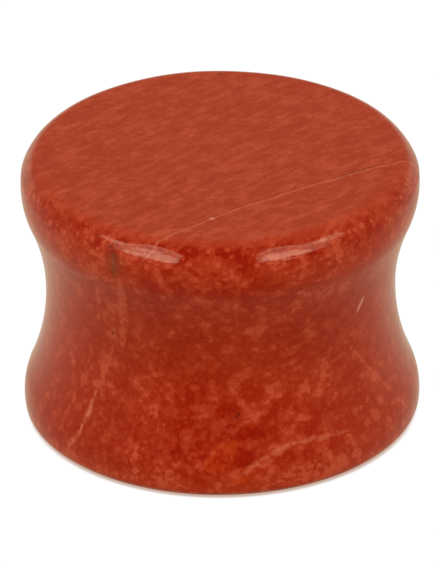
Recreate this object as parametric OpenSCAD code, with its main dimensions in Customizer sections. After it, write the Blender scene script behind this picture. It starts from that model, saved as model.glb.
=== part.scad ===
// Double-flared ear plug: one solid piece of polished stone, ground to a concave
// waist between two flares. Millimetres, +Z up, standing on its lower flat face,
// with the origin at the centre of that face.

/* [Plug] */
// Diameter at the narrowest point of the waist, which is the size a wearer asks for
gauge_d = 16; // [14:0.1:16.6]
// Diameter of both flares where they are widest
flare_d = 18.2; // [17.8:0.1:19.5]
// Length from flat face to flat face
plug_l = 12.9; // [12:0.1:16]
// Height of the narrowest point above the lower face
waist_z = 6.2; // [5.6:0.1:6.8]

/* [Edges] */
// Radius that rounds the upper face over into its flare
upper_edge_r = 1; // [0.2:0.1:1.2]
// Radius that rounds the lower face over into its flare
lower_edge_r = 0.4; // [0.2:0.1:1.2]
// Radius of the upper flare's bulge at its widest point
upper_flare_r = 3.5; // [2:0.1:3.8]
// Radius of the lower flare's bulge at its widest point
lower_flare_r = 3.1; // [2:0.1:3.8]
// Degrees above the horizontal at which an edge's rounding runs into the flare's bulge
edge_lean = 6; // [2:1:20]

/* [Hidden] */
$fa = 4;
$fs = 0.1;

waist_r = gauge_d / 2;

// Points of an arc between two directions, spaced $fa degrees apart or $fs millimetres
// on a small radius, without the first, which is where the line before it ends
function arc(centre, r, from, to) =
    let (steps = ceil(abs(to - from) * min(1 / $fa, PI * r / 180 / $fs)))
    [
        for (i = [1 : steps])
            let (a = from + (to - from) * i / steps)
            centre + r * [cos(a), sin(a)]
    ];

// Outline of one end from the waist plane to its flat face, which is h away. The hollow
// of the waist, the bulge of the flare and the rounding of the edge are three arcs that
// follow each other with no corner between them.
function end_outline(h, edge_r, flare_r) =
    let (
        // Centres of the bulge and of the rounding, on one line with where they meet
        bulge_x = flare_d / 2 - flare_r,
        edge_x = bulge_x + (flare_r - edge_r) * cos(edge_lean),
        edge_z = h - edge_r,
        bulge_z = edge_z - (flare_r - edge_r) * sin(edge_lean),
        // The hollow starts at the waist and touches the bulge from outside
        step = bulge_x - waist_r,
        hollow_r = (step * step + bulge_z * bulge_z - flare_r * flare_r)
            / (2 * (step + flare_r)),
        hollow_x = waist_r + hollow_r,
        touch = atan2(bulge_z, hollow_x - bulge_x)
    )
    concat(
        arc([hollow_x, 0], hollow_r, 180, 180 - touch),
        arc([bulge_x, bulge_z], flare_r, -touch, edge_lean),
        arc([edge_x, edge_z], edge_r, edge_lean, 90)
    );

// The same points from last to first, on the other side of the waist plane
function below(points) =
    [for (i = [len(points) - 1 : -1 : 0]) [points[i].x, -points[i].y]];

// Half section of the plug, from its axis outwards
module plug_section() {
    upper_h = plug_l - waist_z;
    translate([0, waist_z])
        polygon(concat(
            [[0, -waist_z]],
            below(end_outline(waist_z, lower_edge_r, lower_flare_r)),
            [[waist_r, 0]],
            end_outline(upper_h, upper_edge_r, upper_flare_r),
            [[0, upper_h]]
        ));
}

module stone_plug() {
    color([0.62, 0.19, 0.11])
        rotate_extrude()
            plug_section();
}

stone_plug();
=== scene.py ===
"""Double-flared ear plug, turned and polished from one piece of red jasper.

The stone is one closed surface of revolution with the small faults of hand grinding worked
into it. Its colour is built up in layers: a brick-red ground, lighter grains that merge into
patches, strokes across the upper face, and the healed crack, pits and flecks of this stone.
"""

import math

import bpy
import numpy as np
from mathutils import Matrix, Vector


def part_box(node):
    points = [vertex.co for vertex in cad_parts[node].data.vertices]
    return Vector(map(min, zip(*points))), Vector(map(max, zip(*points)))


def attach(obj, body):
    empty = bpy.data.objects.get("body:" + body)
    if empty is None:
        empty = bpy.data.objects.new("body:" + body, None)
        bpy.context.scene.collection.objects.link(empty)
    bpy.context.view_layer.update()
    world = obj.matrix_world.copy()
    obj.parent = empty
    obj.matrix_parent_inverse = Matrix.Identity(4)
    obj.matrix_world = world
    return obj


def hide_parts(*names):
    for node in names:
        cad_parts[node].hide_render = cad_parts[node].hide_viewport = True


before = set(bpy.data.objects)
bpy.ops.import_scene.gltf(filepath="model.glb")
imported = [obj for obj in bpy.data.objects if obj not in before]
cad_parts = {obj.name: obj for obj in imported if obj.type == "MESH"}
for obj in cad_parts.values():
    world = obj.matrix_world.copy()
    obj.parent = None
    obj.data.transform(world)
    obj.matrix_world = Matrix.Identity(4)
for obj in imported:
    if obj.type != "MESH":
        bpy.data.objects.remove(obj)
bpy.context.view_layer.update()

MM = 0.001
STONE_LOW, STONE_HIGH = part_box("stone_plug")

# Sizes of the plug in millimetres; length and flare come from the frame
PLUG_L = (STONE_HIGH.z - STONE_LOW.z) / MM
FLARE_R = (STONE_HIGH.x - STONE_LOW.x) / 2 / MM
WAIST_R = 8.0
WAIST_Z = 6.2

# Bends of each end from its widest point over to its flat face: radius, and the slope of the
# outward normal at the bend's start and stop in degrees above the horizontal. The upper edge
# has a slight bevel between its two tight bends.
UPPER_BENDS = (
    (3.9, 0, 6),
    (0.35, 6, 21),
    (1.9, 21, 42),
    (0.8, 42, 90),
)
LOWER_BENDS = (
    (3.1, 0, 6),
    (0.5, 6, 90),
)

# Flats left on the upper edge by hand grinding: angle from the front in degrees (positive to
# the right), slope of the outward normal, and how far its plane lies below the surface in
# millimetres
FLATS = (
    (-20.5, 25.5, 0.090),
    (17, 24, 0.085),
    (-71, 33, 0.030),
    (64, 30, 0.035),
    (112, 26, 0.050),
    (158, 31, 0.040),
    (-152, 28, 0.060),
    (-107, 24, 0.040),
)
# How far the corner of a flat is rounded over, as a depth in millimetres, and how nearly flat
# its middle is
FLAT_SOFT = 0.03
FLAT_SHARE = 0.78

# Pits: angle from the front in degrees, height, radius and depth in millimetres
PITS = (
    (-37.8, 7.15, 0.20, 0.05),
    (4.6, 3.78, 0.17, 0.05),
    (5.5, 3.92, 0.15, 0.03),
    (-33.5, 12.20, 0.16, 0.015),
    (131.0, 5.10, 0.22, 0.05),
    (-128.0, 9.70, 0.18, 0.04),
    (172.0, 2.60, 0.20, 0.04),
)

# Waves that hand grinding left round the side: half their height in millimetres, how many go
# round, where they start, and how far they turn with each millimetre of height, in radians
WAVES = (
    (0.016, 2, 0.9, 0.10),
    (0.010, 3, 0.0, -0.28),
    (0.006, 7, 1.7, 0.50),
    (0.004, 11, 0.0, -0.90),
)
# Inside this radius the waves die out towards the middle of the upper face
WAVES_FULL_R = 8.0
# Below the first height the stone isn't moved at all, and below the second only sideways, so
# that the plug stands flat
STANDING_Z = 0.02
FOOT_Z = 0.5

# How finely the surface is cut up
TURNS = 416
SIDE_STEP = 0.11
EDGE_STEP = 0.06
UPPER_FACE_STEP = 0.17
LOWER_FACE_STEP = 0.8

# Radius at which an angle round the plug is laid out flat as a length
WRAP_R = 8.6


# Shape


def slope(degrees):
    """Outward and upward parts of a direction so many degrees above the horizontal."""
    return math.cos(math.radians(degrees)), math.sin(math.radians(degrees))


def end_arcs(height, bends):
    """Radius and height of one end, from the waist to the rim of its flat face. Arcs follow
    each other with no corner: the hollow, the bulge of the flare, and the bends of the edge.
    The hollow's radius is the one at which it touches the bulge from outside."""
    flare_r = bends[0][0]
    centre_x = FLARE_R - flare_r
    centre_z = height - sum(r * (slope(stop)[1] - slope(start)[1]) for r, start, stop in bends)
    step = centre_x - WAIST_R
    hollow_r = (step * step + centre_z * centre_z - flare_r * flare_r) / (2 * (step + flare_r))
    hollow_x = WAIST_R + hollow_r
    touch = math.degrees(math.atan2(centre_z, hollow_x - centre_x))
    arcs = [
        (hollow_x, 0.0, hollow_r, 180, 180 - touch, SIDE_STEP),
        (centre_x, centre_z, flare_r, -touch, bends[0][2], SIDE_STEP),
    ]
    for (before_r, _, _), (r, start, stop) in zip(bends, bends[1:]):
        centre_x += (before_r - r) * slope(start)[0]
        centre_z += (before_r - r) * slope(start)[1]
        arcs.append((centre_x, centre_z, r, start, stop, EDGE_STEP))
    radii, heights = [], []
    for x, z, r, start, stop, spacing in arcs:
        count = max(4, round(math.radians(abs(stop - start)) * r / spacing))
        turn = np.radians(np.linspace(start, stop, count + 1)[1:])
        radii.append(x + r * np.cos(turn))
        heights.append(z + r * np.sin(turn))
    return np.concatenate(radii), np.concatenate(heights)


def outline():
    """Radius and height of every ring, from the middle of the lower face round to the middle
    of the upper face, both middles left out."""
    upper_r, upper_z = end_arcs(PLUG_L - WAIST_Z, UPPER_BENDS)
    lower_r, lower_z = end_arcs(WAIST_Z, LOWER_BENDS)
    below = np.linspace(0, lower_r[-1], round(lower_r[-1] / LOWER_FACE_STEP) + 1)[1:-1]
    above = np.linspace(upper_r[-1], 0, round(upper_r[-1] / UPPER_FACE_STEP) + 1)[1:-1]
    radii = np.concatenate([below, lower_r[::-1], [WAIST_R], upper_r, above])
    heights = np.concatenate([
        np.zeros_like(below), WAIST_Z - lower_z[::-1], [WAIST_Z], WAIST_Z + upper_z,
        np.full_like(above, PLUG_L),
    ])
    return radii, heights


def outward(radii, heights):
    """Unit normal of the outline at each ring, across the chord between its neighbours."""
    along_r = np.gradient(radii)
    along_z = np.gradient(heights)
    length = np.hypot(along_r, along_z)
    return along_z / length, -along_r / length


def hand_ground(angle, height):
    """How far the surface stands off the true shape, in millimetres: a sum of sine waves round
    the plug that drift with the height."""
    return sum(
        deep * np.sin(count * angle + start + drift * height)
        for deep, count, start, drift in WAVES
    )


def pitted(radius, turn, height):
    """How deep the pits cut in, in millimetres: round hollows with soft rims."""
    depth = np.zeros_like(radius)
    for angle, pit_z, pit_r, pit_depth in PITS:
        centre = math.radians(angle) - math.pi / 2
        round_way = (turn - centre + math.pi) % (2 * math.pi) - math.pi
        away = np.hypot(round_way * radius, height - pit_z) / pit_r
        depth += pit_depth * np.clip(1 - away * away, 0, None) ** 2
    return depth


def ground_flats(points):
    """Points that stand out past a flat's plane are moved back towards it along its normal.
    The share of the way rises with how far they stand out: half of FLAT_SHARE where that is
    FLAT_SOFT, and towards all of it further out."""
    for angle, rise, depth in FLATS:
        out, up = slope(rise)
        turn = math.radians(angle)
        normal = np.array([math.sin(turn) * out, -math.cos(turn) * out, up])
        reach = points @ normal
        proud = np.clip(reach - (reach.max() - depth), 0, None)
        back = FLAT_SHARE * proud * proud / (proud + FLAT_SOFT)
        points = points - back[:, None] * normal
    return points


def closed_skin(rings):
    """Faces between each ring and the next, and a fan of triangles from each end ring to its
    pole. The two poles come after the points of the rings."""
    ring, spoke = np.meshgrid(np.arange(rings - 1), np.arange(TURNS), indexing="ij")
    after = (spoke + 1) % TURNS
    quads = np.stack([
        ring * TURNS + spoke, ring * TURNS + after,
        (ring + 1) * TURNS + after, (ring + 1) * TURNS + spoke,
    ], -1).reshape(-1, 4)
    spoke = np.arange(TURNS)
    after = (spoke + 1) % TURNS
    last = (rings - 1) * TURNS
    lower_fan = np.stack([after, spoke, np.full(TURNS, rings * TURNS)], -1)
    upper_fan = np.stack([last + spoke, last + after, np.full(TURNS, rings * TURNS + 1)], -1)
    return quads.tolist() + lower_fan.tolist() + upper_fan.tolist()


def turned_stone():
    """The plug as a grid of rings by turns. Each point is its ring's radius and height plus
    the outward normal times the hand-ground waves less the pits, cut back by the flats of the
    upper edge. A point at each pole closes the faces."""
    radii, heights = outline()
    normal_r, normal_z = outward(radii, heights)
    angle = np.arange(TURNS) * 2 * math.pi / TURNS
    ring_r, turn = np.meshgrid(radii, angle, indexing="ij")
    ring_z = np.repeat(heights[:, None], TURNS, axis=1)
    inner = np.clip(radii / WAVES_FULL_R, 0, 1)[:, None] ** 4
    off = hand_ground(turn, ring_z) * inner - pitted(ring_r, turn, ring_z)
    off[ring_z < STANDING_Z] = 0
    ring_r = ring_r + off * normal_r[:, None]
    ring_z = ring_z + off * normal_z[:, None] * (ring_z > FOOT_Z)
    points = np.stack([ring_r * np.cos(turn), ring_r * np.sin(turn), ring_z], -1).reshape(-1, 3)
    poles = np.array([[0, 0, 0], [0, 0, PLUG_L]])
    points = np.concatenate([ground_flats(points), poles]) * MM
    return points, closed_skin(len(radii))


def mesh_object(name, points, faces):
    """A smooth-shaded mesh object at the origin."""
    mesh = bpy.data.meshes.new(name)
    mesh.from_pydata(points.tolist(), [], faces)
    mesh.polygons.foreach_set("use_smooth", np.ones(len(faces), bool))
    mesh.update()
    made = bpy.data.objects.new(name, mesh)
    bpy.context.scene.collection.objects.link(made)
    return made


# Shader shorthand


class Graph:
    """Adds nodes to one node tree. A value may be a number, a colour or another node's socket."""

    def __init__(self, tree):
        self.tree = tree

    def add(self, kind, values=None, **settings):
        made = self.tree.nodes.new(kind)
        for name, value in settings.items():
            setattr(made, name, value)
        for name, value in (values or {}).items():
            self.put(made.inputs[name], value)
        return made

    def put(self, socket, value):
        if isinstance(value, bpy.types.NodeSocket):
            self.tree.links.new(value, socket)
        elif value is not None:
            socket.default_value = value

    def maths(self, operation, a, b=None, c=None):
        return self.add("ShaderNodeMath", {0: a, 1: b, 2: c}, operation=operation).outputs[0]

    def vector(self, operation, a, b=None, scale=None):
        made = self.add("ShaderNodeVectorMath", {0: a, 1: b}, operation=operation)
        if scale is not None:
            self.put(made.inputs["Scale"], scale)
        return made.outputs["Value" if operation in ("DOT_PRODUCT", "LENGTH") else "Vector"]

    def ramp(self, value, low, high, out_low=0.0, out_high=1.0):
        """A smooth step from out_low to out_high while value goes from low to high."""
        values = {"Value": value, 1: low, 2: high, 3: out_low, 4: out_high}
        made = self.add("ShaderNodeMapRange", values, interpolation_type="SMOOTHSTEP")
        return made.outputs[0]

    def noise(self, at, per_mm, detail, roughness=0.5):
        values = {"Vector": at, "Scale": per_mm, "Detail": detail, "Roughness": roughness}
        return self.add("ShaderNodeTexNoise", values)

    def mix(self, share, a, b):
        made = self.add("ShaderNodeMix", data_type="RGBA")
        self.put(made.inputs[0], share)
        self.put(made.inputs[6], a)
        self.put(made.inputs[7], b)
        return made.outputs[2]


def empty_graph(owner):
    """The emptied node tree of a new material or world."""
    owner.use_nodes = True
    owner.node_tree.nodes.clear()
    return Graph(owner.node_tree)


def rgb(red, green, blue):
    return (red, green, blue, 1.0)


# Red jasper

# The body runs through these from its deepest red to its palest grains: place, colour
BODY = (
    (0.00, rgb(0.258, 0.0060, 0.0002)),
    (0.30, rgb(0.330, 0.0195, 0.0032)),
    (0.70, rgb(0.388, 0.0365, 0.0098)),
    (1.00, rgb(0.475, 0.0640, 0.0240)),
)
# Browner and darker at the waist: partly the stone's own tone and partly painted shade in the
# hollow under the upper flare
WAIST_BROWN_AND_SHADE = rgb(0.245, 0.0300, 0.0080)
PALE_VEIN = rgb(0.570, 0.1350, 0.0620)
ORANGE = rgb(0.480, 0.0420, 0.0030)
PIT_BROWN = rgb(0.120, 0.0140, 0.0040)
RUST_BROWN = rgb(0.175, 0.0380, 0.0120)
# Painted shade: dark brown laid along the lower edge, where the plug stands on the floor
FOOT_SHADE_BROWN = rgb(0.210, 0.0750, 0.0420)
CHALK = rgb(0.850, 0.4200, 0.3000)

# The grains are drawn out a little in this direction. On the upper face fine strokes also run
# slantwise across it.
STREAK_TURN = math.radians(32)
STREAK_STRETCH = (1.15, 0.88, 1.0)
STROKE_TURN = math.radians(43)
STROKE_STRETCH = (3.6, 1.0, 1.0)
STROKES_PER_MM = 2.8
STROKE_SWING = 0.66

# Two sizes of grains: cells to a millimetre, least size, how much the sizes differ, how much
# they grow in a thick cloud, softness of the edge, and where the pattern starts
LARGE_GRAINS = (1.9, 0.25, 0.22, 2.3, 0.13, 3.0)
SMALL_GRAINS = (3.4, 0.22, 0.36, 1.2, 0.16, 11.0)
SMALL_SHARE = 0.34
CLOUD_SWING = 0.60
GRIT_SWING = 0.44
# Level of a point half way between grain and ground
GRAIN_MIDDLE = 0.3
# Little spots: cells to a millimetre, least size, how much they differ, softness of the edge
SPOTS = (3.0, 0.20, 0.40, 0.13)

# The ground between the grains, as a place in the body's run of colours
GROUND_LEAST, GROUND_DRIFT = 0.25, 0.50
# On the upper face the pale ground is partly the stone's own tone and partly painted sheen for
# the bright room it reflects
TOP_GROUND_AND_SHEEN = 0.78
# The ground also sinks a little at the waist, partly as painted shade in the hollow
WAIST_DEEPER = -0.02
# How far the grains stand out on the upper face
TOP_CONTRAST = 0.38
# Share of the waist's brown that is laid on, partly painted shade in the hollow
WAIST_BROWN_AND_SHADE_SHARE = 0.28
# The lowest place that the grained body comes down to
BODY_FLOOR = 0.04

# How the looks change over the stone, each a smooth step: where it starts and stops in
# millimetres, and its value before and after. These steps go by the height.
UPPER_FACE = (PLUG_L - 0.30, PLUG_L - 0.02, 0.0, 1.0)
FOOT_PALER = (0.15, 1.3, 0.42, 0.0)
# Painted shade: how much of the dark brown is laid on towards the lower edge, by height
FOOT_SHADE_BROWNER = (0.05, 0.30, 0.85, 0.0)
RIM_LESS_PALE = (10.8, 12.0, 1.0, 0.15)
RIM_LARGE_SHARE = (11.2, 12.0, 0.38, 0.18)
RIM_FILL = (11.2, 12.0, 0.0, 0.12)
RIM_CONTRAST = (11.4, 12.1, 0.92, 1.20)
RIM_SPOTS = (11.0, 12.0, 0.16, 0.50)
CRACK_SHOWS = (11.4, 12.6, 0.0, 0.62)
# This one goes by the distance from the waist's middle
WAIST_MIDDLE = 8.2
WAIST_ZONE = (1.2, 4.0, 1.0, 0.0)
# These go by the distance to the left or right of the axis. The grains are calmer at both
# sides, by the first factor away from the waist and by the second at it.
SIDES_LESS_BROWN = (4.5, 8.5, 1.0, 0.2)
SIDES_CALMER = (4.5, 7.5)
SIDE_CALM = (0.74, 0.6)
# The ground pales to the left and right between these places, by the first value near the foot
# and by the second from the waist up. The paleness is partly the stone's own tone and partly
# painted sheen for the soft reflections on both sides.
LEFT_PALES, LEFT_PALENESS_AND_SHEEN = (-8.0, -1.5), (0.03, 0.24)
RIGHT_PALES, RIGHT_PALENESS_AND_SHEEN = (4.0, 8.5), (0.00, 0.30)
PALENESS_RISES = (3.0, 7.0)

# Lines of marks sway by up to half of this much each way, in millimetres, and flecks by a
# share of it
MARK_SWAY = 0.4
FLECK_SHARE = 0.15
# A line has its full strength up to the first of these times its half width, and is gone at
# the second. At both ends its half width is less by this share of the width.
LINE_FULL, LINE_GONE = 0.1, 1.9
LINE_TAPER = 0.3
# How much is left of a line where it is broken up, as a smooth step along a noise
LINES_BREAK = (0.38, 0.58, 0.25, 1.0)

# The healed crack is one sheet through the stone. It shows as the vein across the upper face
# and fades out over the rim: its turn from the x axis, how far off the middle it runs, how it
# bows away from a straight line and leans with the depth, how far it wanders, half its width.
CRACK_TURN = math.radians(33)
CRACK_OFFSET = -4.88
CRACK_BOW = -0.009
CRACK_LEAN = 0.31
CRACK_WANDER = 0.7
CRACK_HALF = 0.12
# The dark line beside the crack: how far off, half its width and its strength
BESIDE_OFF, BESIDE_HALF, BESIDE_SHARE = 0.15, 0.11, 0.40

# Lines that the polishing wheel left: their depth in metres, and the factors on their places
# that draw them out round the side
WHEEL_DEPTH = 0.011 * MM
WHEEL_COMB = (0.12, 1.0, 1.0)
WHEEL_LINES_PER_MM = 4.5
# Roughness of the polish, as a smooth step along a noise
POLISH = (0.2, 0.8, 0.08, 0.13)

# Marks on the side, each a line from one place to another: kind, angle in degrees from the
# front (positive to the right) and height in millimetres at both ends, width, strength.
# Deep and light marks move the body colour down or up; the others are colours of their own.
SIDE_MARKS = (
    ("light", -30.4, 10.6, -34.1, 6.5, 0.42, 1.30),
    ("light", -40.3, 9.8, -43.9, 7.5, 0.28, 0.65),
    ("light", -38.2, 6.4, -44.1, 3.9, 0.32, 1.00),
    ("light", -47.0, 5.9, -49.0, 5.0, 0.24, 0.45),
    ("light", -53.0, 3.0, -56.5, 1.3, 0.26, 0.50),
    ("light", 4.5, 12.0, 4.8, 8.0, 0.20, 0.50),
    ("light", 44.7, 6.3, 53.7, 4.5, 0.24, 0.62),
    ("light", 53.7, 4.5, 65.0, 2.4, 0.22, 0.58),
    ("light", 65.0, 2.4, 70.2, 1.3, 0.20, 0.55),
    ("light", -6.5, 1.4, 1.0, 2.8, 0.24, 0.45),
    ("light", 1.0, 2.8, 12.8, 4.0, 0.34, 0.40),
    ("light", 12.8, 4.0, 26.3, 5.5, 0.34, 0.30),
    ("light", -3.0, 0.9, 3.0, 2.3, 0.20, 0.35),
    ("light", -37.0, 11.6, -41.0, 10.4, 1.40, 0.30),
    ("light", -22.5, 12.5, -19.5, 12.8, 0.50, 0.40),
    ("light", -12.0, 11.5, 14.0, 11.5, 0.90, 0.22),
    ("light", 14.0, 12.6, 34.0, 12.6, 0.70, 0.20),
    # Paler stone, and in part painted highlight under the right soft box's reflection on the rim
    ("light", 8.0, 12.2, 27.0, 11.7, 1.20, 0.34),
    ("light", 24.0, 10.9, 38.0, 9.2, 3.40, 0.40),
    # Paler stone, and in part painted highlight under the left soft box's reflection on the rim
    ("light", -28.0, 11.9, -17.0, 11.9, 1.10, 0.35),
    ("light", -24.0, 0.8, -10.0, 0.75, 0.90, 0.50),
    ("light", -31.0, 1.7, -15.0, 1.5, 1.70, 0.45),
    ("light", 17.0, 0.8, 38.0, 0.9, 1.20, 0.60),
    ("light", 19.0, 5.6, 38.0, 4.4, 2.20, 0.30),
    ("light", -15.0, 5.9, -19.0, 4.9, 1.40, 0.30),
    ("light", -30.0, 3.6, -17.0, 3.0, 1.80, 0.28),
    ("deep", -5.0, 1.9, 4.0, 1.9, 1.00, 0.35),
    ("pale", -44.1, 3.9, -46.8, 2.0, 0.24, 0.95),
    ("pale", -46.8, 2.0, -51.1, 0.8, 0.26, 0.75),
    ("pale", 5.0, 1.2, 13.6, 2.0, 0.28, 0.55),
    ("pale", 13.6, 2.0, 22.4, 2.4, 0.26, 0.68),
    ("pale", 22.4, 2.4, 41.9, 2.1, 0.22, 0.50),
    ("orange", -4.0, 1.5, 3.5, 2.6, 1.00, 0.60),
    ("orange", 3.0, 0.8, 9.0, 1.5, 0.50, 0.60),
    ("deep", 3.5, 2.3, 8.0, 1.7, 0.60, 0.60),
    ("deep", 0.0, 3.2, 12.0, 2.9, 0.60, 0.40),
    ("deep", -12.0, 12.5, 7.0, 12.4, 0.50, 0.20),
    ("light", -38.4, 7.15, -37.2, 7.15, 0.50, 0.35),
    ("brown", -32.8, 12.1, -31.8, 10.8, 0.90, 0.42),
    ("brown", -32.0, 12.0, -32.0, 10.9, 0.40, 0.85),
)

# Small marks with crisp edges, in the same columns
SIDE_FLECKS = (
    ("chalk", 51.8, 8.20, 49.6, 7.55, 0.22, 0.38),
    ("chalk", -32.6, 11.60, -32.3, 11.52, 0.12, 0.10),
    ("chalk", -29.8, 11.62, -29.5, 11.55, 0.12, 0.08),
    ("chalk", -18.6, 3.28, -18.3, 3.26, 0.14, 0.15),
    ("chalk", 19.5, 7.71, 19.8, 7.70, 0.09, 0.25),
    ("chalk", 48.7, 0.55, 49.0, 0.57, 0.12, 0.45),
    ("chalk", -69.4, 6.89, -69.1, 6.87, 0.10, 0.25),
    ("pit", -38.0, 7.20, -37.6, 7.10, 0.19, 0.85),
    ("pit", 4.4, 3.72, 5.7, 3.98, 0.14, 0.80),
    ("pit", -33.7, 12.25, -33.4, 12.15, 0.14, 0.75),
    ("pit", 130.8, 5.10, 131.2, 5.10, 0.20, 0.70),
    ("pit", -128.2, 9.70, -127.8, 9.70, 0.16, 0.70),
    ("pit", 171.8, 2.60, 172.2, 2.60, 0.18, 0.70),
)

# Marks on the upper face: kind, x and y in millimetres at both ends, width, strength
TOP_MARKS = (
    ("light", -3.0, -7.7, -2.2, -7.2, 0.40, 0.35),
    ("light", -2.2, -7.2, -1.2, -7.3, 0.30, 0.30),
    ("pale", 5.4, -1.5, 6.4, -0.8, 0.08, 0.30),
    ("pale", 6.4, -0.8, 8.1, 0.4, 0.08, 0.25),
    ("pit", 5.2, -2.5, 6.3, -1.8, 0.10, 0.95),
    ("pit", 6.3, -1.8, 7.1, -1.35, 0.08, 0.65),
    ("pit", -0.05, 7.90, 0.15, 8.05, 0.22, 0.60),
    ("chalk", -0.46, -6.21, -0.28, -6.13, 0.20, 0.60),
)


def drawn_out(g, at, turn, stretch):
    """Coordinates in which a pattern is longer in one direction, turned about the axis."""
    made = g.add("ShaderNodeMapping", {"Vector": at}, vector_type="TEXTURE")
    made.inputs["Rotation"].default_value = (0, 0, turn)
    made.inputs["Scale"].default_value = stretch
    return made.outputs[0]


def between(g, share, a, b):
    """The number a where share is 0 and b where it is 1."""
    return g.add("ShaderNodeMix", {0: share, 2: a, 3: b}).outputs[0]


def swinging(g, noise, swing):
    """A noise as a number that swings evenly about 0, by half of swing each way."""
    return g.maths("MULTIPLY_ADD", noise.outputs["Fac"], swing, -swing / 2)


def swaying(g, noise, sway):
    """A noise as a shift of place that is as often one way as the other."""
    even = g.vector("SUBTRACT", noise.outputs["Color"], (0.5, 0.5, 0.5))
    return g.vector("SCALE", even, scale=sway)


def millimetres(g):
    """Object coordinates in millimetres."""
    place = g.add("ShaderNodeTexCoord").outputs["Object"]
    return g.vector("SCALE", place, scale=1 / MM)


def wrapped(g, at):
    """The side laid out flat: length round the plug from the front, and height."""
    parts = g.add("ShaderNodeSeparateXYZ", {0: at})
    front = g.maths("MULTIPLY", parts.outputs[1], -1.0)
    turn = g.maths("ARCTAN2", parts.outputs[0], front)
    length = g.maths("MULTIPLY", turn, WRAP_R)
    return g.add("ShaderNodeCombineXYZ", {0: length, 1: parts.outputs[2]}).outputs[0]


def tapered_line(g, place, x0, y0, x1, y1, width, strength):
    """Strength on the straight line between two places, falling to 0 on both sides of it. The
    width narrows as a parabola to both ends."""
    reach = (x1 - x0, y1 - y0, 0)
    square = reach[0] ** 2 + reach[1] ** 2
    off = g.vector("SUBTRACT", place, (x0, y0, 0))
    share = g.vector("DOT_PRODUCT", off, (reach[0] / square, reach[1] / square, 0))
    along = g.add("ShaderNodeClamp", {"Value": share}).outputs[0]
    away = g.vector("LENGTH", g.vector("SUBTRACT", off, g.vector("SCALE", reach, scale=along)))
    swing = g.maths("MULTIPLY_ADD", along, 2.0, -1.0)
    bow = g.maths("MULTIPLY", swing, swing)
    half = g.maths("MULTIPLY_ADD", bow, -LINE_TAPER * width, 0.5 * width)
    return g.ramp(g.maths("DIVIDE", away, half), LINE_GONE, LINE_FULL, 0.0, strength)


def marks(g, place, rows, kind):
    """The strongest of all the lines of one kind at each point."""
    total = None
    for name, *line in rows:
        if name != kind:
            continue
        mask = tapered_line(g, place, *line)
        total = mask if total is None else g.maths("MAXIMUM", total, mask)
    return total


def flat_rows(rows):
    """The side marks with their angles turned into lengths round the plug."""
    scale = math.radians(1) * WRAP_R
    return [(kind, a0 * scale, z0, a1 * scale, z1, w, s) for kind, a0, z0, a1, z1, w, s in rows]


def grains(g, at, cloud, fill, sizes):
    """Round grains that run together: a spot in each cell of a smoothed cell pattern, whose
    size varies from cell to cell and grows with the cloud, so that crowds become patches."""
    per_mm, least, spread, grow, soft, start = sizes
    low = g.maths("ADD", fill, least)
    moved = g.vector("ADD", at, (start, start * 0.37, -start))
    values = {"Vector": moved, "Scale": per_mm, "Randomness": 1.0, "Smoothness": 0.5}
    cells = g.add("ShaderNodeTexVoronoi", values, feature="SMOOTH_F1")
    parts = g.add("ShaderNodeSeparateColor", {0: cells.outputs["Color"]})
    size = g.maths("MULTIPLY_ADD", parts.outputs[0], spread, low)
    swell = g.maths("MULTIPLY", g.maths("SUBTRACT", cloud, 0.5), grow)
    edge = g.maths("SUBTRACT", g.maths("ADD", size, swell), cells.outputs["Distance"])
    spot = g.ramp(edge, -soft, soft)
    return g.maths("MULTIPLY", spot, g.maths("MULTIPLY_ADD", parts.outputs[1], 0.5, 0.6))


def little_spots(g, at):
    """Small round spots with crisp edges, scattered singly: the middles of a cell pattern."""
    per_mm, least, spread, soft = SPOTS
    values = {"Vector": at, "Scale": per_mm, "Randomness": 1.0}
    cells = g.add("ShaderNodeTexVoronoi", values, feature="F1")
    parts = g.add("ShaderNodeSeparateColor", {0: cells.outputs["Color"]})
    size = g.maths("MULTIPLY_ADD", parts.outputs[0], spread, least)
    spot = g.ramp(g.maths("SUBTRACT", size, cells.outputs["Distance"]), 0.0, soft)
    return g.maths("MULTIPLY", spot, g.maths("MULTIPLY_ADD", parts.outputs[1], 0.7, 0.3))


def mottled(g, at, low, contrast, coarse, fill):
    """Place of each point in the body's run of colours, from 0 to 1. Two sizes of grains lie
    on soft clouds; low is the ground between the grains, contrast spreads the whole, coarse is
    the share of the large grains, and fill makes all grains larger until they close up."""
    bent = g.vector("ADD", at, swaying(g, g.noise(at, 4.5, 1.0), 0.20))
    cloud = g.noise(at, 1.1, 3.0, 0.6)
    large = grains(g, bent, cloud.outputs["Fac"], fill, LARGE_GRAINS)
    small = grains(g, bent, cloud.outputs["Fac"], fill, SMALL_GRAINS)
    both = g.maths("MULTIPLY_ADD", large, coarse, g.maths("MULTIPLY", small, SMALL_SHARE))
    clouds = swinging(g, cloud, CLOUD_SWING)
    grit = swinging(g, g.noise(at, 7.0, 2.0), GRIT_SWING)
    total = g.maths("ADD", g.maths("ADD", both, clouds), grit)
    return g.maths("MULTIPLY_ADD", g.maths("SUBTRACT", total, GRAIN_MIDDLE), contrast, low)


def side_paleness_and_sheen(g, height, low, high):
    """How much one side pales, partly as painted sheen: low near the foot, high from the waist
    up, little at the rim.
    """
    rising = g.ramp(height, *PALENESS_RISES, low, high)
    return g.maths("MULTIPLY", rising, g.ramp(height, *RIM_LESS_PALE))


def body_colour(g, place):
    """The body's colour at a place in its run of colours."""
    made = g.add("ShaderNodeValToRGB", {0: place})
    stops = made.color_ramp.elements
    while len(stops) < len(BODY):
        stops.new(1.0)
    for stop, (position, colour) in zip(stops, BODY):
        stop.position = position
        stop.color = colour
    return made.outputs[0]


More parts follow.
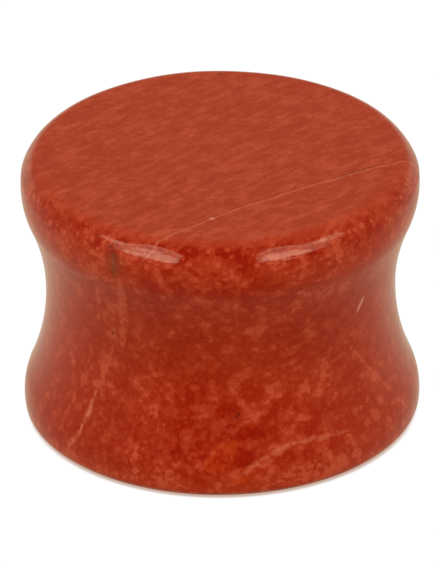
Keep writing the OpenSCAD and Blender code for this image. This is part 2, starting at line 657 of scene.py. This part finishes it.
class Places:
    """Where a point lies in the stone, in the ways that its layers ask for it."""

    def __init__(self, g):
        self.at = millimetres(g)
        parts = g.add("ShaderNodeSeparateXYZ", {0: self.at})
        self.right = parts.outputs[0]
        self.height = parts.outputs[2]
        self.on_top = g.ramp(self.height, *UPPER_FACE)
        self.on_side = g.maths("SUBTRACT", 1.0, self.on_top)
        self.sway = swaying(g, g.noise(self.at, 0.8, 2.0, 0.6), MARK_SWAY)
        self.unrolled = wrapped(g, self.at)
        self.marked = g.vector("ADD", self.unrolled, self.sway)
        self.from_above = g.vector("MULTIPLY", self.at, (1.0, 1.0, 0.0))
        # Lines are broken up by the first of these, or only made faint in places by the second
        self.broken = g.ramp(g.noise(self.at, 4.6, 3.0).outputs["Fac"], *LINES_BREAK)
        self.faint = g.maths("MULTIPLY_ADD", self.broken, 0.5, 0.5)


def ground_between_grains(g, where, waist):
    """The ground's place in the run of colours. It pales to both sides and at the foot, and on
    the upper face it is pale throughout. At the sides and on the upper face the paleness is
    partly the stone's own tone and partly painted sheen."""
    drift = g.noise(where.at, 0.20, 2.0).outputs["Fac"]
    ground = g.maths("MULTIPLY_ADD", drift, GROUND_DRIFT, GROUND_LEAST)
    left = side_paleness_and_sheen(g, where.height, *LEFT_PALENESS_AND_SHEEN)
    right = side_paleness_and_sheen(g, where.height, *RIGHT_PALENESS_AND_SHEEN)
    leftward = g.ramp(where.right, *LEFT_PALES, left, 0.0)
    rightward = g.ramp(where.right, *RIGHT_PALES, 0.0, right)
    ground = g.maths("ADD", ground, g.maths("ADD", leftward, rightward))
    ground = g.maths("ADD", ground, g.ramp(where.height, *FOOT_PALER))
    ground = g.maths("MULTIPLY_ADD", waist, WAIST_DEEPER, ground)
    # Pale on the upper face, partly as painted sheen
    return between(g, where.on_top, ground, TOP_GROUND_AND_SHEEN)


def contrast_of_grains(g, where, waist, across):
    """How far the grains stand out: most at the rim, less at both sides, least on the face."""
    contrast = g.ramp(where.height, *RIM_CONTRAST)
    at_sides = g.ramp(waist, 0.0, 1.0, *SIDE_CALM)
    contrast = g.maths("MULTIPLY", contrast, g.ramp(across, *SIDES_CALMER, 1.0, at_sides))
    return between(g, where.on_top, contrast, TOP_CONTRAST)


def soft_marks(g, where, rows):
    """How far the light and deep marks move the body's place in its run of colours."""
    light = g.maths("MULTIPLY", marks(g, where.marked, rows, "light"), where.broken)
    side = g.maths("SUBTRACT", light, marks(g, where.marked, rows, "deep"))
    side = g.maths("MULTIPLY", side, where.on_side)
    top = g.maths("MULTIPLY", marks(g, where.from_above, TOP_MARKS, "light"), where.on_top)
    return g.maths("ADD", side, top)


def body_of_stone(g, where):
    """The grained body with its strokes, soft marks and little spots. It is browner and darker at
    the waist, partly the stone's own tone and partly painted shade in the hollow under the upper
    flare.
    """
    off_waist = g.maths("ABSOLUTE", g.maths("SUBTRACT", where.height, WAIST_MIDDLE))
    waist = g.ramp(off_waist, *WAIST_ZONE)
    across = g.maths("ABSOLUTE", where.right)
    ground = ground_between_grains(g, where, waist)
    contrast = contrast_of_grains(g, where, waist, across)
    coarse = g.ramp(where.height, *RIM_LARGE_SHARE)
    fill = g.ramp(where.height, *RIM_FILL)
    grained = drawn_out(g, where.at, STREAK_TURN, STREAK_STRETCH)
    body = mottled(g, grained, ground, contrast, coarse, fill)
    slanting = drawn_out(g, where.at, STROKE_TURN, STROKE_STRETCH)
    strokes = swinging(g, g.noise(slanting, STROKES_PER_MM, 2.0), STROKE_SWING)
    body = g.maths("ADD", body, g.maths("MULTIPLY", strokes, where.on_top))
    # Browner and darker at the waist, partly painted shade in the hollow under the flare
    brown = g.maths("MULTIPLY", waist, WAIST_BROWN_AND_SHADE_SHARE)
    brown = g.maths("MULTIPLY", brown, g.ramp(across, *SIDES_LESS_BROWN))
    body = g.maths("ADD", body, soft_marks(g, where, flat_rows(SIDE_MARKS)))
    spotted = g.maths("MULTIPLY", g.ramp(where.height, *RIM_SPOTS), where.on_side)
    body = g.maths("MAXIMUM", body, BODY_FLOOR)
    body = g.maths("MULTIPLY_ADD", little_spots(g, where.at), spotted, body)
    return g.mix(brown, body_colour(g, body), WAIST_BROWN_AND_SHADE)


def with_side_marks(g, where, colour):
    """The lines and flecks of the side that have colours of their own."""
    rows = flat_rows(SIDE_MARKS)
    for kind, paint, share in (
        ("orange", ORANGE, where.broken),
        ("brown", RUST_BROWN, where.faint),
        ("pale", PALE_VEIN, where.broken),
    ):
        mask = g.maths("MULTIPLY", marks(g, where.marked, rows, kind), share)
        colour = g.mix(mask, colour, paint)
    flecked = g.vector("ADD", where.unrolled, g.vector("SCALE", where.sway, scale=FLECK_SHARE))
    flecks = flat_rows(SIDE_FLECKS)
    for kind, paint in (("pit", PIT_BROWN), ("chalk", CHALK)):
        colour = g.mix(marks(g, flecked, flecks, kind), colour, paint)
    return colour


def with_top_marks(g, where, colour):
    """The lines and flecks of the upper face that have colours of their own."""
    for kind, paint in (("pale", PALE_VEIN), ("pit", PIT_BROWN), ("chalk", CHALK)):
        mask = g.maths("MULTIPLY", marks(g, where.from_above, TOP_MARKS, kind), where.on_top)
        colour = g.mix(mask, colour, paint)
    return colour


def with_healed_crack(g, where, colour):
    """The healed crack as a pale sheet that bows and leans, with a dark line along it."""
    level = g.maths("SUBTRACT", PLUG_L, where.height)
    aside = g.vector("DOT_PRODUCT", where.at, (-math.sin(CRACK_TURN), math.cos(CRACK_TURN), 0.0))
    along = g.vector("DOT_PRODUCT", where.at, (math.cos(CRACK_TURN), math.sin(CRACK_TURN), 0.0))
    course = g.maths("MULTIPLY_ADD", g.maths("MULTIPLY", along, along), CRACK_BOW, CRACK_OFFSET)
    sheet = g.maths("SUBTRACT", aside, g.maths("MULTIPLY_ADD", level, CRACK_LEAN, course))
    crooked = swinging(g, g.noise(where.at, 0.7, 4.0, 0.6), CRACK_WANDER)
    sheet = g.maths("ADD", sheet, crooked)
    near = g.ramp(g.maths("ABSOLUTE", sheet), CRACK_HALF, 0.0)
    shown = g.maths("MULTIPLY", where.faint, g.ramp(where.height, *CRACK_SHOWS))
    colour = g.mix(g.maths("MULTIPLY", near, shown), colour, PALE_VEIN)
    off = g.maths("ABSOLUTE", g.maths("SUBTRACT", sheet, BESIDE_OFF))
    beside = g.ramp(off, BESIDE_HALF, 0.0, 0.0, BESIDE_SHARE)
    return g.mix(g.maths("MULTIPLY", beside, shown), colour, BODY[0][1])


def wheel_lines(g, where):
    """Normals with the faint lines of the polishing wheel, round the side only."""
    combed = g.vector("MULTIPLY", where.unrolled, WHEEL_COMB)
    lines = g.noise(combed, WHEEL_LINES_PER_MM, 2.0).outputs["Fac"]
    lines = g.maths("MULTIPLY", g.maths("SUBTRACT", lines, 0.5), where.on_side)
    values = {"Strength": 1.0, "Distance": WHEEL_DEPTH, "Height": lines}
    return g.add("ShaderNodeBump", values).outputs[0]


def jasper():
    """The finished stone."""
    material = bpy.data.materials.new("red_jasper")
    g = empty_graph(material)
    where = Places(g)
    colour = body_of_stone(g, where)
    colour = with_side_marks(g, where, colour)
    colour = with_top_marks(g, where, colour)
    # Painted shade along the lower edge, where the plug stands on the floor
    colour = g.mix(g.ramp(where.height, *FOOT_SHADE_BROWNER), colour, FOOT_SHADE_BROWN)
    colour = with_healed_crack(g, where, colour)
    polish = g.noise(where.at, 1.4, 3.0).outputs["Fac"]
    values = {
        "Base Color": colour,
        "Roughness": g.ramp(polish, *POLISH),
        "IOR": 1.54,
        "Normal": wheel_lines(g, where),
    }
    surface = g.add("ShaderNodeBsdfPrincipled", values)
    g.add("ShaderNodeOutputMaterial", {"Surface": surface.outputs[0]})
    return material


# Studio

# Half the floor's width in metres, its glow to the camera, and its paint
FLOOR_HALF = 0.8
FLOOR_WHITE = 1.02
FLOOR_PAINT = 0.72
# Even light from the room, and the colour of what the polish reflects of it
AMBIENT = 0.95
WARM = rgb(1.0, 0.83, 0.61)
# Brightness of the room in the polish, each a smooth step along one axis: where it starts and
# stops, and its value before and after. The first two go from the camera's side to behind the
# plug, the next two upwards, the last to the right.
ROOM_SIDES = (-0.97, 0.1, 0.01, 0.24)
ROOM_BEHIND = (-0.1, 1.0, 0.0, 0.48)
BEHIND_ABOVE = (-0.05, 0.30, 1.0, 0.15)
SIDES_ABOVE = (-0.05, 0.30, 1.0, 0.6)
ROOM_RIGHT = (-0.6, 0.7, 1.00, 0.93)
# Reach of the thin shade where the plug meets the floor, as distances from its axis in metres
SHADE_IN, SHADE_OUT = 8.80 * MM, 9.10 * MM
SHADE = rgb(0.60, 0.42, 0.35)
# The soft boxes as the plug sees them: name, degrees from the camera's side (positive to the
# right), degrees above the floor, width and height in degrees, radiance. Each side has one
# large box with a brighter band low down and another high up, and a narrow far end.
SOFTBOXES = (
    ("softbox_left", -45, 27.5, 36, 20, 1.2),
    ("softbox_right", 45, 27.0, 36, 20, 1.2),
    ("low_band_left", -41, 20.0, 24, 6, 2.9),
    ("low_band_right", 40, 19.0, 22, 5.5, 3.2),
    ("high_band_left", -46, 33.5, 34, 7, 1.0),
    ("high_band_right", 46, 33.5, 34, 7, 1.1),
    ("far_end_left", -69, 31.0, 14, 9, 1.9),
    ("far_end_right", 69, 31.0, 14, 9, 1.7),
)
BOX_WARM = (1.0, 0.78, 0.56)
# Distance from the plug's upper face in metres
BOX_AWAY = 0.45


def floor():
    """A wide white sheet, lit through like a light table: the camera sees it evenly white up
    to the thin shade under the plug's edge, and it lights the plug as matt paint would."""
    corners = np.array([[-1, -1, 0], [1, -1, 0], [1, 1, 0], [-1, 1, 0]]) * FLOOR_HALF
    sheet = mesh_object("floor", corners, [[0, 1, 2, 3]])
    material = bpy.data.materials.new("floor_white")
    g = empty_graph(material)
    place = g.add("ShaderNodeTexCoord").outputs["Object"]
    away = g.vector("LENGTH", place)
    clear = g.ramp(away, SHADE_IN, SHADE_OUT)
    white = rgb(FLOOR_WHITE, FLOOR_WHITE, FLOOR_WHITE)
    glow = g.add("ShaderNodeEmission", {"Color": g.mix(clear, SHADE, white)})
    paint = g.add("ShaderNodeBsdfDiffuse", {"Color": rgb(FLOOR_PAINT, FLOOR_PAINT, FLOOR_PAINT)})
    seen = g.add("ShaderNodeLightPath").outputs["Is Camera Ray"]
    both = g.add("ShaderNodeMixShader", {0: seen, 1: paint.outputs[0], 2: glow.outputs[0]})
    g.add("ShaderNodeOutputMaterial", {"Surface": both.outputs[0]})
    sheet.data.materials.append(material)
    sheet.visible_glossy = False


def room():
    """Even light from all round. In the polish the room behind the plug shows as a dim grey
    that falls away to dark on the camera's side, as in a small light tent left open in front."""
    world = bpy.data.worlds.new("studio")
    g = empty_graph(world)
    bpy.context.scene.world = world
    way = g.add("ShaderNodeTexCoord").outputs["Generated"]
    right, back, up = g.add("ShaderNodeSeparateXYZ", {0: way}).outputs
    sides = g.maths("MULTIPLY", g.ramp(back, *ROOM_SIDES), g.ramp(up, *SIDES_ABOVE))
    behind = g.ramp(back, *ROOM_BEHIND)
    dim = g.maths("MULTIPLY_ADD", behind, g.ramp(up, *BEHIND_ABOVE), sides)
    dim = g.maths("MULTIPLY", dim, g.ramp(right, *ROOM_RIGHT))
    polished = g.add("ShaderNodeLightPath").outputs["Is Glossy Ray"]
    even = g.add("ShaderNodeBackground", {"Color": rgb(1, 1, 1), "Strength": AMBIENT})
    tent = g.add("ShaderNodeBackground", {"Color": WARM, "Strength": dim})
    both = g.add("ShaderNodeMixShader", {0: polished, 1: even.outputs[0], 2: tent.outputs[0]})
    g.add("ShaderNodeOutputWorld", {"Surface": both.outputs[0]})


def softbox(name, turn, rise, wide, high, radiance):
    """A soft box that faces the plug, placed by how it looks from the plug's upper face."""
    out, up = slope(rise)
    turn = math.radians(turn)
    toward = Vector((math.sin(turn) * out, -math.cos(turn) * out, up))
    middle = toward * BOX_AWAY + Vector((0, 0, PLUG_L * MM))
    data = bpy.data.lights.new(name, "AREA")
    data.shape = "RECTANGLE"
    data.size = 2 * BOX_AWAY * math.tan(math.radians(wide / 2))
    data.size_y = 2 * BOX_AWAY * math.tan(math.radians(high / 2))
    data.energy = radiance * math.pi * data.size * data.size_y
    data.color = BOX_WARM
    lamp = bpy.data.objects.new(name, data)
    facing = toward.to_track_quat("Z", "Y").to_matrix().to_4x4()
    lamp.matrix_world = Matrix.Translation(middle) @ facing
    bpy.context.scene.collection.objects.link(lamp)


# Camera

# The picture's size, and the camera's distance and aim in millimetres
IMAGE_W, IMAGE_H = 440, 568
SENSOR = 36.0
CAMERA_AWAY = 450.0
LOOK_DOWN = math.radians(28.6)
PIXELS_PER_MM = 21.797
ROLL = 0.0106
AIM_Z = 6.45
# Where the point on the axis at AIM_Z shows in the picture
AIM_PIXEL = (220.9, 278.6)


def camera():
    """A long lens at the photograph's angle. It is set off sideways and downwards by as many
    millimetres as the aim point lies from the picture's middle."""
    off_right = (AIM_PIXEL[0] - IMAGE_W / 2) / PIXELS_PER_MM
    off_up = (IMAGE_H / 2 - AIM_PIXEL[1]) / PIXELS_PER_MM
    data = bpy.data.cameras.new("camera")
    data.sensor_width = SENSOR
    data.lens = SENSOR * PIXELS_PER_MM * CAMERA_AWAY / max(IMAGE_W, IMAGE_H)
    data.clip_start = 0.01
    data.clip_end = 10
    made = bpy.data.objects.new("camera", data)
    turn = Matrix.Rotation(math.pi / 2 - LOOK_DOWN, 4, "X") @ Matrix.Rotation(-ROLL, 4, "Z")
    back = Vector((0, -math.cos(LOOK_DOWN), math.sin(LOOK_DOWN))) * CAMERA_AWAY
    place = Vector((0, 0, AIM_Z)) + back + turn.to_3x3() @ Vector((-off_right, -off_up, 0))
    made.matrix_world = Matrix.Translation(place * MM) @ turn
    bpy.context.scene.collection.objects.link(made)
    bpy.context.scene.camera = made


stone = mesh_object("jasper_plug", *turned_stone())
stone.data.materials.append(jasper())
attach(stone, "root")
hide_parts("stone_plug")

floor()
room()
for row in SOFTBOXES:
    softbox(*row)
camera()
bpy.context.scene.view_settings.view_transform = "Standard"
